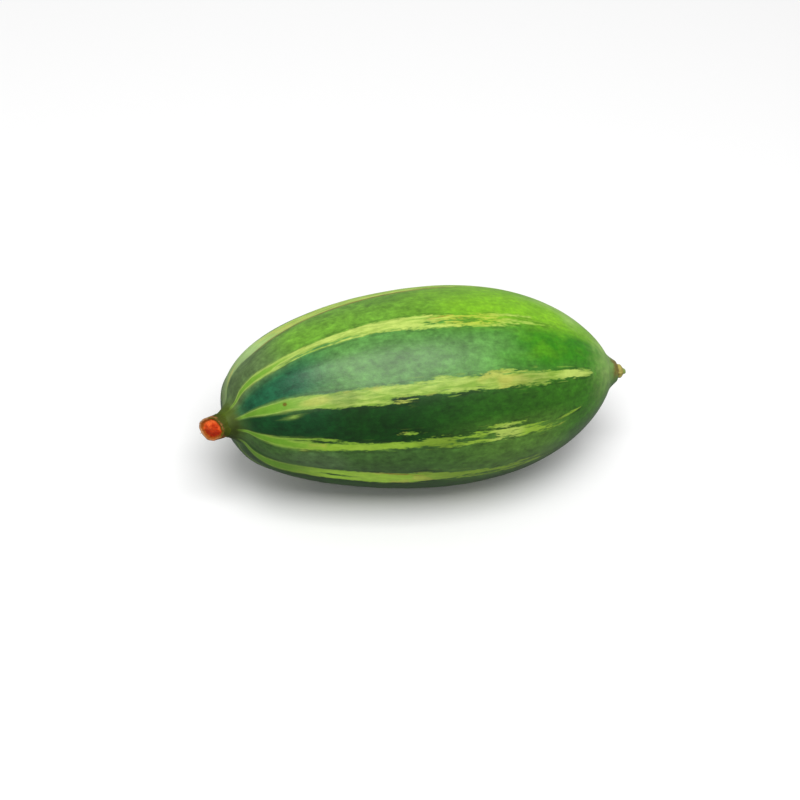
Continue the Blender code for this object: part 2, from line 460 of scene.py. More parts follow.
def stripe_fields(root, along, around):
    """Two numbers at each point: how deep it is inside the nearest stripe (mm), and its fray."""
    around_y, around_z, _ = separate(around)
    angle_here = root.math("ARCTAN2", around_z, around_y)
    lines = [
        (stripe_depth(root, along, angle_here, path, width), fray)
        for path, width, fray in [*FRONT_STRIPES, *(ruled_stripe(*row) for row in OTHER_STRIPES)]
    ]
    lines += [(sliver_depth(root, along, angle_here, row), SLIVER_FRAY) for row in SLIVERS]
    deepest, first_fray = lines[0]
    frays = root.math("ADD", first_fray, 0.0)
    for depth, fray in lines[1:]:
        closer = root.math("GREATER_THAN", depth, deepest)
        frays = frays + closer * (fray - frays)
        deepest = larger(deepest, depth)
    for gap in GAPS:
        deepest = smaller(deepest, sliver_depth(root, along, angle_here, gap) * -1.0)
    return deepest, frays


print("the longest stripe ends at", max(width[-1][0] for _, width, _ in FRONT_STRIPES), "mm")

# %% [markdown]
# ## Colours
#
# A shader works with linear colour, but a colour is easier to judge as it looks on a screen. Each
# colour is therefore named by its screen values from 0 to 255 and converted once. A few helpers then
# mix colours, start and end a material, and add noise with its grain stated in real sizes.

# %% Convert screen colours


def screen(red, green, blue):
    """A colour as it looks on a screen, 0 to 255, as the linear values that shaders use."""

    def linear(value):
        share = value / 255
        return share / 12.92 if share <= 0.04045 else ((share + 0.055) / 1.055) ** 2.4

    return (linear(red), linear(green), linear(blue), 1.0)


print("middle grey is", round(screen(128, 128, 128)[0], 3), "in linear light")

# %% Mix colours, and start and end a material


def blend(factor, first, second):
    """A colour between two colours."""
    root = next(value for value in (factor, first, second) if isinstance(value, Wire))
    settings = {"data_type": "RGBA"}
    inputs = {"Factor": factor, 6: first, 7: second}
    return root.node("ShaderNodeMix", settings, inputs, output=2)


def layered(base, *layers):
    """A colour with others laid over it in turn. Each layer is a factor and a colour."""
    for factor, colour in layers:
        base = blend(factor, base, colour)
    return base


def tint(colour, amount):
    """A colour made lighter or darker by a number."""
    return stretched(colour, amount)


def start_material(name):
    """An empty material. Returns it and a Wire on its tree."""
    material = bpy.data.materials.new(name)
    material.use_nodes = True
    material.node_tree.nodes.clear()
    return material, Wire(material.node_tree)


def finish_material(root, inputs):
    """Ends a material with its surface and its output."""
    surface = root.node("ShaderNodeBsdfPrincipled", None, inputs)
    root.node("ShaderNodeOutputMaterial", None, {"Surface": surface})


def attribute(root, name, output="Fac"):
    return root.node("ShaderNodeAttribute", {"attribute_name": name}, None, output)


def noise(vector, along, across, detail=2.0, shift=0.0, roughness=0.5):
    """Soft noise from 0 to 1. Along and across are its grain, in the vector's own unit."""
    moved = vector_math("MULTIPLY", vector, (1 / along, 1 / across, 1 / across))
    moved = vector_math("ADD", moved, (shift, shift * 1.7, shift * 2.3))
    inputs = {"Vector": moved, "Scale": 1.0, "Detail": detail, "Roughness": roughness}
    return moved.node("ShaderNodeTexNoise", None, inputs)


print("colours ready")

# %% [markdown]
# ## The skin's finish
#
# The skin is satin and waxy. Its dark green panels are mottled, its stripes are frayed like brushed
# fibres, and the sunny upper side of the blossom end is flushed a bright yellow green. A painted
# picture could carry all this, but it would blur close up. Here every mark is a formula of its place
# on the fruit, so it stays sharp, and a number moves it. The shape tree further down leaves four
# values on the mesh for this: the place along and around the fruit, the depth in the nearest stripe,
# that stripe's fray, and how thick the fruit is there.

# %% Name the skin's colours
# The panels between the stripes: the angles where one starts and ends, and its colour
PANELS = (
    (56.0, 92.0, screen(92, 140, 38)),
    (95.0, 133.0, screen(84, 138, 62)),
    (137.0, 165.0, screen(10, 58, 6)),
    (169.0, 195.0, screen(66, 104, 44)),
    (199.0, 230.0, screen(34, 78, 10)),
    (234.0, 265.0, screen(58, 100, 34)),
    (269.0, 301.0, screen(24, 74, 18)),
    (305.0, 336.0, screen(60, 106, 36)),
    (340.0, 372.0, screen(26, 78, 20)),
    (376.0, 409.0, screen(70, 120, 34)),
)
PANEL_TEAL = screen(6, 84, 56)
PANEL_END = screen(62, 124, 20)
PANEL_DULL = screen(84, 104, 66)
# The grey of a painted sheen on the panels
PANEL_SHEEN_GREY = screen(108, 134, 92)
PANEL_LOW_END = screen(98, 138, 52)
FLUSH = screen(128, 188, 24)
FLUSH_DEEP = screen(50, 128, 2)
STRIPE_GREEN = screen(104, 160, 34)
STRIPE_EDGE = screen(104, 146, 46)
STRIPE_SHOULDER = screen(146, 184, 84)
STRIPE_LOW = screen(152, 196, 50)
STRIPE_YELLOW = screen(204, 208, 58)
STRIPE_MID = screen(132, 170, 56)
STRIPE_PALE = screen(198, 220, 108)
STRIPE_WARM = screen(206, 190, 92)
RUST = screen(166, 120, 40)
BLOOM = screen(174, 214, 112)
COLLAR = screen(66, 84, 10)
RIM_PALE = screen(162, 194, 130)
BEAK = screen(86, 112, 62)
BEAK_END = screen(116, 96, 40)
SCAR = screen(104, 96, 8)
print(len(PANELS), "panels have a green of their own")

# %% Read the place on the skin
skin_material, skin = start_material("gourd_skin")
place = attribute(skin, "meridian", "Vector")
depth = attribute(skin, "stripe")
fray = attribute(skin, "fray")
girth = attribute(skin, "girth")
along, place_y, place_z = separate(place)
# The true place in mm, for patterns that mustn't gather into rays at the two ends
skin_at = stretched(skin.node("ShaderNodeTexCoord", None, None, "Object"), 1 / MM)
SPOT_CORE = 0.35  # share of an oval that is at full strength


def towards(angle):
    """1 where the skin faces that angle round the fruit, 0 at right angles to it."""
    turn = math.radians(angle)
    return dot(place, (0.0, math.cos(turn) / MERIDIAN_RADIUS, math.sin(turn) / MERIDIAN_RADIUS))


def between(value, start, full, past, end):
    """Rises from start to full, stays 1, and falls from past to end."""
    return fade(value, start, full) * fade(value, end, past)


def spot(at, angle, length, width):
    """A soft oval: 1 in its middle, 0 at its edge. Sizes in mm."""
    turn = math.radians(angle)
    middle = (at, math.cos(turn) * MERIDIAN_RADIUS, math.sin(turn) * MERIDIAN_RADIUS)
    away = vector_math("SUBTRACT", place, middle)
    away = vector_math("MULTIPLY", away, (1 / length, 1 / width, 1 / width))
    return fade(vector_math("LENGTH", away, output="Value"), 1.0, SPOT_CORE)


def spots(rows):
    """Soft ovals added up. A row holds an oval and its strength."""
    return sum(spot(*oval) * strength for *oval, strength in rows)


print("skin attributes:", [wire.socket.node.attribute_name for wire in (place, depth, fray, girth)])

# %% [markdown]
# ### The ragged edges
#
# A real stripe ends in a fringe of fine strands, with loose slivers beside it and dark slits in it.
# Noise that is stretched along the fruit shifts the depth, and a narrow step then cuts the edge. Near
# the stem the step is a wide one, because the stripes melt into the skin there.

# %% Fray the stripes
# What each kind of noise adds to the depth, in mm from one extreme to the other
WOBBLE = 0.9
TEETH = 1.1
STRANDS = 2.3

wobble = (noise(place, 6.0, 2.2, 2.0, 3.1) - 0.5) * WOBBLE
teeth = (noise(place, 1.1, 0.35, 2.0, 23.0) - 0.5) * TEETH
strands = (noise(place, 2.6, 0.5, 3.0, 7.7) - 0.5) * STRANDS
blossom_half = fade(along, 18.0, 44.0)
ragged = blossom_half * 0.5 + 0.55
edge = depth + wobble * (blossom_half * 0.5 + 0.5) + (strands * fray + teeth) * ragged
near_stem = fade(along, 15.0, 4.0)
crisp = fade(edge, -0.14, 0.22)
soft = fade(edge, -1.0, 0.9)
solid_stripe = crisp + near_stem * 0.85 * (soft - crisp)
near_stripe = between(depth, -1.5, -0.7, -0.3, 0.1)
sliver = fade(noise(place, 4.5, 0.5, 1.5, 12.3), 0.63, 0.67) * near_stripe * blossom_half * fray
slit = fade(noise(place, 5.0, 0.42, 2.0, 19.1), 0.60, 0.68)
slit = slit * fade(depth, 1.4, 0.4) * (blossom_half * 0.8 + 0.2)
stripe = clamp(larger(solid_stripe * (1 - slit * 0.8), sliver * 0.8))
print("noise in the edges, mm:", WOBBLE, TEETH, STRANDS)

# %% [markdown]
# ### The panels
#
# A colour ramp round the fruit gives each panel its own green, and soft zones change it along the fruit:
# teal by the stem, greyer on the side, lighter towards the blossom end. The greyer side is a painted sheen,
# and painted light and shade make the upper side and a few patches lighter or darker. The mottling is noise
# of several sizes, because one size alone looks like printed spots.

# %% Colour the panels
# Painted light and shade on the panels: mm along, angle, length and width (mm), strength
PANEL_PAINTED_LIGHT_AND_SHADE = (
    (50.0, 115.0, 8.0, 6.0, 0.24),
    (29.0, 115.0, 9.0, 6.0, -0.16),
    (64.0, 115.0, 9.0, 7.0, -0.18),
    (55.0, 151.0, 7.0, 6.0, -0.20),
)


def panel_stops():
    """A ramp's stops for the panels, in order from angle 0 to 360."""
    stops = [((angle / 360) % 1.0, colour) for start, end, colour in PANELS for angle in (start, end)]
    across_zero = next(colour for start, end, colour in PANELS if start < 360 < end)
    return sorted([*stops, (0.0, across_zero), (1.0, across_zero)])


angle_share = skin.math("FRACT", skin.math("ARCTAN2", place_z, place_y) / (2 * math.pi) + 1.0)
ramp = skin.node("ShaderNodeValToRGB", {"stops": panel_stops()}, {"Fac": angle_share})
blotch = noise(skin_at, 6.0, 3.5, 3.0, 31.0)
mottle = noise(skin_at, 2.0, 1.6, 3.0, 37.0, 0.6)
grain = noise(skin_at, 0.9, 0.7, 4.0, 43.0, 0.62)
brushed = noise(place, 3.4, 0.8, 2.0, 63.0)
far_along = fade(along, 26.0, 72.0) * fade(towards(140.0), 0.2, 0.9)
dark_side = fade(towards(152.0), 0.86, 0.97)
teal_zone = between(along, -2.0, 0.4, 9.0, 21.0) * fade(towards(130.0), 0.72, 0.95)
dull_shoulder = fade(along, 13.0, 4.0) * fade(towards(70.0), 0.80, 0.95)
# Painted sheen: the side panel turns greyer where the lamp's gloss lies
painted_sheen_side = between(along, 6.0, 16.0, 42.0, 60.0) * fade(towards(122.0), 0.93, 0.995)
low_end = between(along, 34.0, 54.0, 60.0, 68.0) * fade(towards(182.0), 0.86, 0.98)
# Painted light: the panels are lighter on the upper side, between the stem and the middle
painted_top_light = between(along, 4.0, 12.0, 26.0, 36.0) * fade(towards(74.0), 0.86, 0.97)
panel = layered(
    ramp,
    (far_along * 0.75, PANEL_END),
    (teal_zone * (0.92 - dark_side * 0.72), PANEL_TEAL),
    (dull_shoulder * 0.82, PANEL_DULL),
    # Painted sheen: greyer on the side, and in a patch in front near the stem
    (painted_sheen_side * 0.2 + spot(12.0, 183.0, 9.0, 4.5) * 0.35, PANEL_SHEEN_GREY),
    (low_end * 0.62, PANEL_LOW_END),
)
panel = tint(panel, painted_top_light * 0.25 + 1.0)
# Painted light and shade: the panels are lighter or darker in these patches
panel = tint(panel, spots(PANEL_PAINTED_LIGHT_AND_SHADE) + 1.0)
panel = tint(panel, blotch * 0.7 + mottle * 1.4 - 0.05)
print("the ramp has", len(panel_stops()), "stops")

# %% [markdown]
# ### The flush
#
# The sun has turned the upper side of the blossom end a bright yellow green. A colour ramp along the
# fruit would end it in a ring. So two soft zones make it, one over the top and a shorter one down the
# side, and noise makes their edges uneven. A fine grain and brushed streaks then go over all the green.

# %% Add the flush, the grain and the dark edge lines
flush_edge = noise(skin_at, 7.0, 4.0, 3.0, 57.0) - 0.5
flush_length = along + flush_edge * 12.0
upper_flush = fade(flush_length, 28.0, 54.0) * fade(towards(70.0), 0.78, 0.93)
side_flush = fade(flush_length, 50.0, 61.0) * fade(towards(98.0) + flush_edge * 0.14, 0.80, 0.96)
flush = clamp(larger(upper_flush, side_flush)) * fade(along, 80.0, 70.0)
sunlit = fade(towards(74.0), 0.84, 0.97)
lit_flush = clamp(sunlit * 0.85 + fade(blotch, 0.42, 0.66) * 0.2 - fade(along, 58.0, 74.0) * 0.12)
panel = blend(flush, panel, tint(blend(lit_flush, FLUSH_DEEP, FLUSH), mottle * 0.5 + 0.75))
panel = tint(panel, grain * 0.9 + 0.55)
# A thin dark line follows the stripes' edges here and there
edge_line = between(edge, -0.9, -0.35, -0.15, 0.1) * fade(noise(place, 5.0, 1.4, 2.0, 67.0), 0.42, 0.58)
panel = tint(panel, 1.0 - edge_line * 0.3)
panel = tint(panel, brushed * 0.5 + 0.76)
print("panels and flush so far:", len(skin_material.node_tree.nodes), "nodes")

# %% [markdown]
# ### The stripes' own colour
#
# No stripe is one colour. They are palest on top, green in the core by the stem, darker at the edges,
# and warm or rusty in places. Fine streaks along the fruit run through all of it. Each of these is one
# blend over the last, from the widest to the smallest, as a painter would lay them on.

# %% Colour the stripes
# Patches of another colour: mm along, angle, length and width (mm), strength, colour
WARM_PATCHES = (
    (12.0, 134.0, 4.5, 1.6, 0.35, STRIPE_WARM),
    (53.0, 135.0, 5.0, 1.7, 0.22, STRIPE_WARM),
    (47.0, 94.5, 9.0, 3.0, 0.55, STRIPE_YELLOW),
)
PALE_PATCHES = (
    (66.5, 133.5, 4.5, 2.5, 0.8, STRIPE_PALE),
    (51.5, 166.5, 5.0, 3.0, 0.7, STRIPE_PALE),
)
DIM_PATCHES = ((18.0, 136.0, 5.0, 3.0, 0.26), (38.0, 167.0, 7.0, 3.0, 0.3), (57.0, 134.0, 5.0, 3.0, 0.22))
RUST_LINES = ((44.0, 93.5, 8.0, 1.6, 0.8), (31.0, 192.5, 9.0, 1.2, 0.9))


def spot_layers(rows):
    """Soft ovals of other colours, as layers."""
    return [(spot(*oval) * strength, spot_colour) for *oval, strength, spot_colour in rows]


streak = noise(place, 4.0, 0.7, 4.0, 71.0, 0.6)
warm = fade(noise(place, 7.0, 5.0, 2.0, 83.0), 0.56, 0.68)
sunny = fade(towards(88.0), 0.80, 0.96)
lower = fade(towards(192.0), 0.62, 0.88)
top_stripe = fade(towards(38.0), 0.86, 0.95)
stem_core = near_stem * fade(edge + (streak - 0.5) * 0.8, 0.4, 0.95) * (1 - top_stripe)
rim_pale = tint(RIM_PALE, fade(along, 1.0, 9.0) * 0.5 + 0.55)
stripe_colour = layered(
    STRIPE_MID,
    (clamp(fade(streak, 0.36, 0.64) * 0.56 + sunny * 0.45), STRIPE_PALE),
    (lower * 0.75, STRIPE_LOW),
    (fade(edge, 0.5, 0.0) * 0.65, STRIPE_EDGE),
    (near_stem * 0.4, STRIPE_SHOULDER),
    (stem_core * 0.85, STRIPE_GREEN),
    (near_stem * top_stripe * 0.8, rim_pale),
    (warm * 0.35, STRIPE_WARM),
    *spot_layers(WARM_PATCHES),
)
far_edge = fade(towards(47.0), 0.93, 0.995)
low_stripe = spot(24.0, 199.5, 18.0, 5.0)
stripe_colour = tint(stripe_colour, low_stripe * 0.62 + far_edge * 0.35 + 0.95)
stripe_colour = tint(layered(stripe_colour, *spot_layers(PALE_PATCHES)), 1 - spots(DIM_PATCHES))
rusty = fade(noise(place, 6.0, 0.5, 2.0, 91.0), 0.50, 0.62)
rust_layers = [(spot(*oval) * rusty * strength, RUST) for *oval, strength in RUST_LINES]
stripe_colour = layered(stripe_colour, *rust_layers, (flush * 0.35, FLUSH))
colour = blend(stripe, panel, tint(stripe_colour, grain * 0.3 + mottle * 0.35 + 0.66))
far_border = between(depth, -0.9, -0.3, 0.1, 0.5) * fade(towards(59.0), 0.972, 0.996)
colour = blend(far_border * between(along, 4.0, 10.0, 40.0, 50.0) * 0.45, colour, RUST)
print(len(WARM_PATCHES) + len(PALE_PATCHES) + len(DIM_PATCHES), "patches on the stripes")

# %% [markdown]
# ### The two ends
#
# A waxy bloom pales the blossom end, the collar round the stem is a dull olive, and the beak browns
# where the flower dried. Each could be a band across the fruit, but a band looks like a painted ring.
# So their edges wander with noise, and they are stronger on the upper side, which the light and the air
# reach. There the bloom is partly a painted rim sheen, and the collar carries painted light.

# %% Finish the ends and the skin
SCAR_SPOT = (6.0, 130.5, 0.55, 0.85)


def patch(at, angle, reach, length, width):
    """How far out in an oval a point of the true shape is: 0 in its middle, 1 on its rim."""
    turn = math.radians(angle)
    across = Vector((0.0, math.cos(turn) * reach, math.sin(turn) * reach))
    away = vector_math("SUBTRACT", skin_at, tuple(centre_at(at * MM) / MM + across))
    away = vector_math("MULTIPLY", away, (1 / length, 1 / width, 1 / width))
    return vector_math("LENGTH", away, output="Value")


end_mottle = noise(skin_at, 1.6, 1.3, 3.0, 97.0)
bloom_reach = smaller(patch(68.5, 58.0, 12.5, 12.0, 8.0), patch(75.0, 66.0, 6.0, 6.0, 6.0))
# Partly a waxy bloom, partly a painted rim sheen on the upper side of the blossom end
bloom_and_rim_sheen = fade(bloom_reach + flush_edge * 1.6, 1.15, 0.1) * 0.85
tip_bloom = fade(along + (end_mottle - 0.5) * 4.0, 69.0, 76.5) * fade(towards(88.0), -0.4, 0.8) * 0.55
ends = larger(fade(along, 1.0, 0.0) * 0.08, larger(bloom_and_rim_sheen, tip_bloom))
collar_tone = fade(along, 6.0, 3.0) * fade(girth + (streak + end_mottle - 1.0) * 1.6, 4.9, 2.9)
# Painted light: the collar is lighter towards the top, over real mottling and streaks
collar_mottle_and_painted_light = fade(towards(70.0), 0.2, 0.9) * 0.5 + end_mottle * 0.8 + streak * 0.4 + 0.08
by_beak = fade(along, 68.0, 72.0)
beak_pale = by_beak * fade(girth + (end_mottle - 0.5) * 2.0, 5.5, 2.8)
beak_front = fade(towards(95.0), 0.1, 0.8) * 0.9
beak_brown = by_beak * fade(girth + (end_mottle - 0.5) * 2.2, 3.5, 2.5) * beak_front
colour = layered(
    colour,
    (ends * (end_mottle * 0.9 + 0.45), BLOOM),
    (collar_tone, tint(COLLAR, collar_mottle_and_painted_light)),
    (beak_pale * 0.45, BEAK),
    (beak_brown, tint(BEAK_END, end_mottle * 1.2 + 0.4)),
    (spot(*SCAR_SPOT), SCAR),
)
pores = noise(place, 0.35, 0.3, 2.0, 5.0)
relief = {"Strength": 1.0, "Distance": MM, "Height": grain * 0.03 + streak * 0.015 + pores * 0.012}
finish_material(
    skin,
    {
        "Base Color": colour,
        "Roughness": grain * 0.12 + stripe * 0.05 + collar_tone * 0.25 + 0.31,
        "Specular IOR Level": 0.3,
        "Normal": skin.node("ShaderNodeBump", None, relief),
    },
)
print("skin material has", len(skin_material.node_tree.nodes), "nodes")

# %% [markdown]
# ## The skin's shape
#
# The skin is a ball of rings. Each point keeps its place round the ring, and the formula gives the
# ring its radius, its place on the curved middle line and its tilt. Rings crowd towards both ends,
# where the collar rises to the stem and the beak stands out. Faint panels swell between the stripes,
# and a little noise takes away the look of a turned piece. The belly is flat where it rests. A turned
# profile would be simpler, but it could be neither curved nor swollen in panels.

# %% Name the skin's sizes
SKIN_SIZES = {
    "Segments": 320,
    "Rings": 240,
    "Length": FRUIT_LENGTH,
    "Radius": FRUIT_DIAMETER / 2,
    "Stem end power": STEM_END_POWER,
    "Blossom end power": BLOSSOM_END_POWER,
    "Taper": TAPER,
    "Lean": LEAN,
    "Lean reach": LEAN_REACH,
    "Panels": 10.0,
    "Panel swell": 0.22 * MM,
    "Unevenness": 0.35 * MM,
    "Collar height": 2.8 * MM,
    "Collar foot": 5.7 * MM,
    "Collar top": 2.4 * MM,
    "Beak reach": 2.8 * MM,
    "Beak foot": 4.6 * MM,
    "Beak length": BEAK_LENGTH,
}
RING_CROWDING = 0.7
PANEL_CREST_ANGLE = math.radians(37.0)
SHOULDER_TURN = 0.75  # how far round from the stem pole the panels swell most, in radians
SHOULDER_SHARPNESS = 4.0
REST_OF_SWELL = 0.23  # share of the swell that is left away from the shoulder
COLLAR_POWER = 2.6
BEAK_POWER = 3.0
BEAK_ROUNDING = 0.4 * MM


def widest_shape():
    """The largest value of the outline formula, which scales it to the real thickness."""
    turns = np.linspace(0.01, math.pi - 0.01, 2000)
    side = -np.cos(turns)
    power = STEM_END_POWER + (BLOSSOM_END_POWER - STEM_END_POWER) * (side + 1) / 2
    return float(np.max(np.sin(turns) ** (2 * power) * (1 + TAPER * side)))


print("widest value of the outline:", round(widest_shape(), 3))

# %% Set out the rings
shape, size = start_shape("gourd skin", SKIN_SIZES)
ball = shape.node(
    "GeometryNodeMeshUVSphere",
    None,
    {"Segments": size["Segments"], "Rings": size["Rings"], "Radius": 1.0},
)
point = shape.node("GeometryNodeInputPosition")
point_x, point_y, point_z = separate(point)
around = vector_math("NORMALIZE", combine(shape, point_x, point_y, 0.0))
around_y, around_z, _ = separate(around)

polar = shape.math("ARCCOSINE", point_z * -1.0)
turn = polar - sin(polar * 2.0) * (RING_CROWDING / 2)
side = cos(turn) * -1.0
share = (side + 1.0) * 0.5
power = size["Stem end power"] + (size["Blossom end power"] - size["Stem end power"]) * share
outline = larger(sin(turn), 0.0) ** (power * 2.0) * (size["Taper"] * side + 1.0)
radius = size["Radius"] * outline / widest_shape()
distance = size["Length"] * share
mm_along = distance / MM
meridian = combine(shape, mm_along, around_y * MERIDIAN_RADIUS, around_z * MERIDIAN_RADIUS)
print(SKIN_SIZES["Rings"], "rings of", SKIN_SIZES["Segments"], "points")

# %% Swell the panels, raise the collar and draw out the beak
swell_angle = shape.math("ARCTAN2", around_z, around_y) - PANEL_CREST_ANGLE
shoulder = shape.math("EXPONENT", (turn - SHOULDER_TURN) ** 2.0 * -SHOULDER_SHARPNESS)
swell_share = shoulder * (1 - REST_OF_SWELL) + REST_OF_SWELL
swell = cos(swell_angle * size["Panels"]) * size["Panel swell"] * swell_share
lumps = noise(meridian, 16.0, 9.0, 2.0, 11.0) - 0.5
body = fade(radius, 5.0 * MM, 10.0 * MM)
radius_here = radius + (swell + lumps * size["Unevenness"]) * body

stem_part = fade(mm_along, 20.0, 10.0)
collar_share = clamp((size["Collar foot"] - radius) / (size["Collar foot"] - size["Collar top"]))
collar = collar_share**COLLAR_POWER * size["Collar height"] * stem_part
beak_share = clamp(1.0 - (radius / size["Beak foot"]) ** 2.0)
past_pole = distance - size["Length"] + beak_share**BEAK_POWER * size["Beak reach"]
past_pole = shape.math("SMOOTH_MIN", past_pole, size["Beak length"], BEAK_ROUNDING)
blossom_part = fade(mm_along, 60.0, 70.0)
beak = (past_pole - (distance - size["Length"])) * blossom_part
print("the beak stands out by", round(SKIN_SIZES["Beak length"] / MM, 2), "mm")

# %% Bend the fruit and flatten its belly
left = clamp(1.0 - distance / size["Lean reach"])
lean = left**3.0 * size["Lean"]
slope = left**2.0 * size["Lean"] * 3.0 / size["Lean reach"]
lean_y, lean_z = LEAN_DIRECTION.y, LEAN_DIRECTION.z
forward = vector_math("NORMALIZE", combine(shape, 1.0, slope * -lean_y, slope * -lean_z))
forward_x, forward_y, _ = separate(forward)
sideways = vector_math("NORMALIZE", combine(shape, forward_y * -1.0, forward_x, 0.0))
upwards = vector_math("CROSS_PRODUCT", forward, sideways)
centre = combine(shape, distance + STEM_POLE_X, lean * lean_y + AXIS_Y, lean * lean_z + AXIS_Z)

spread = vector_math(
    "ADD", stretched(sideways, around_y * radius_here), stretched(upwards, around_z * radius_here)
)
moved = vector_math("ADD", vector_math("ADD", centre, spread), stretched(forward, beak - collar))
moved_x, moved_y, moved_z = separate(moved)
resting = combine(shape, moved_x, moved_y, larger(moved_z, 0.0))
print("the stem end leans by", round(LEAN / MM, 1), "mm")

# %% Keep the skin, with what its finish reads


def store(geometry, name, value, kind="FLOAT"):
    settings = {"data_type": kind, "domain": "POINT"}
    inputs = {"Geometry": geometry, "Name": name, "Value": value}
    return geometry.node("GeometryNodeStoreNamedAttribute", settings, inputs)


depth_field, fray_field = stripe_fields(shape, mm_along, around)
skin_mesh = store(ball, "meridian", meridian, "FLOAT_VECTOR")
skin_mesh = store(skin_mesh, "stripe", depth_field)
skin_mesh = store(skin_mesh, "fray", fray_field)
skin_mesh = store(skin_mesh, "girth", radius / MM)
skin_mesh = shape.node("GeometryNodeSetPosition", None, {"Geometry": skin_mesh, "Position": resting})
skin_mesh = shape.node("GeometryNodeSetShadeSmooth", None, {"Geometry": skin_mesh})
gourd_skin = keep_shape(shape, skin_mesh, skin_material, "gourd_skin", SKIN_SIZES)
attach(gourd_skin, "root")
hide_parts("fruit")

# %% [markdown]
# ## The floor, the light and the camera
#
# The gourd lies on a plain pale floor under one large soft light from above, as in a light tent. The
# floor looks white, but the fruit gets back only what a grey one would send it. A dark cloth under
# the belly would do that in a studio. The camera looks down at 45 degrees, a little from the side of
# the stem, through a long lens, which keeps the shape from looking stretched.

# %% Lay the floor
FLOOR_SIZE = 6.0
FLOOR_WHITE = screen(252, 252, 252)
FLOOR_BOUNCE = screen(150, 150, 150)  # keeps the belly dark
floor_material, floor_tree = start_material("pale_floor")
# 1 for what the camera sees of the floor, 0 for what the fruit gets back from it
seen = floor_tree.node("ShaderNodeLightPath", output="Is Camera Ray")
finish_material(floor_tree, {"Base Color": blend(seen, FLOOR_BOUNCE, FLOOR_WHITE), "Roughness": 0.7})
bpy.ops.mesh.primitive_plane_add(size=FLOOR_SIZE)
floor = bpy.context.object
floor.name = "floor"
floor.data.materials.append(floor_material)
floor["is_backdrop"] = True
print("floor, m:", FLOOR_SIZE)

# %% Light it
TENT_STRENGTH = 0.5
LAMP_PLACE = Vector((-0.03, -0.18, 0.56))
LAMP_AIM = Vector((0.0, 0.0, 0.02))
LAMP_SIZE = 0.36
LAMP_POWER = 2.7

world = bpy.data.worlds.new("light tent")
bpy.context.scene.world = world
world.use_nodes = True
background = world.node_tree.nodes["Background"]
background.inputs["Color"].default_value = (1.0, 1.0, 1.0, 1.0)
background.inputs["Strength"].default_value = TENT_STRENGTH
lamp_data = bpy.data.lights.new("overhead", "AREA")
lamp_data.shape = "SQUARE"
lamp_data.size = LAMP_SIZE
lamp_data.energy = LAMP_POWER
lamp = bpy.data.objects.new("overhead", lamp_data)
lamp.location = LAMP_PLACE
lamp.rotation_mode = "QUATERNION"
lamp.rotation_quaternion = (LAMP_AIM - LAMP_PLACE).to_track_quat("-Z", "Y")
bpy.context.scene.collection.objects.link(lamp)
bpy.context.scene.view_settings.view_transform = "Standard"
print("lamp, m above the floor:", LAMP_PLACE.z)

# %% Place the camera
CAMERA_AZIMUTH = math.radians(-16.0)
CAMERA_ELEVATION = math.radians(45.0)
CAMERA_ROLL = math.radians(6.62)
CAMERA_DISTANCE = 0.52
FOCAL_PIXELS = 2610.0  # the lens, in pixels of an image 800 pixels wide
IMAGE_PIXELS = 800
GOURD_PIXEL = (422.7, 387.2)  # where the middle of the fruit's axis lands in the image

back = Vector(
    (
        math.sin(CAMERA_AZIMUTH) * math.cos(CAMERA_ELEVATION),
        -math.cos(CAMERA_AZIMUTH) * math.cos(CAMERA_ELEVATION),
        math.sin(CAMERA_ELEVATION),
    )
)
level_right = Vector((0, 0, 1)).cross(back).normalized()
level_up = back.cross(level_right)
right = level_right * math.cos(CAMERA_ROLL) + level_up * math.sin(CAMERA_ROLL)
up = level_up * math.cos(CAMERA_ROLL) - level_right * math.sin(CAMERA_ROLL)
pixel = CAMERA_DISTANCE / FOCAL_PIXELS
gourd_middle = Vector((STEM_POLE_X + FRUIT_LENGTH / 2, AXIS_Y, AXIS_Z))
offset = right * (GOURD_PIXEL[0] - IMAGE_PIXELS / 2) + up * (IMAGE_PIXELS / 2 - GOURD_PIXEL[1])
camera_data = bpy.data.cameras.new("camera")
camera_data.lens = FOCAL_PIXELS / IMAGE_PIXELS * camera_data.sensor_width
camera = bpy.data.objects.new("camera", camera_data)
camera_place = gourd_middle + back * CAMERA_DISTANCE - offset * pixel
camera_turn = Matrix((right, up, back)).transposed().to_4x4()
camera.matrix_world = Matrix.Translation(camera_place) @ camera_turn
bpy.context.scene.collection.objects.link(camera)
bpy.context.scene.camera = camera
print("camera at, mm:", [round(v / MM) for v in camera.location], "lens, mm:", round(camera_data.lens, 1))

# %% [markdown]
# ## The cut stem
#
# The stem was cut off at a slant, a few millimetres from the fruit. The cut has a dry tan rim, a
# brown ring inside it and moist orange-red pith in the middle. A cylinder would need its top reshaped
# point by point, so the stem is built from rings: up the side, over the rim and across the cut. Each
# point keeps its height, its place across the stem and how far in on the cut it is, for the finish.

# %% Build closed meshes from rings


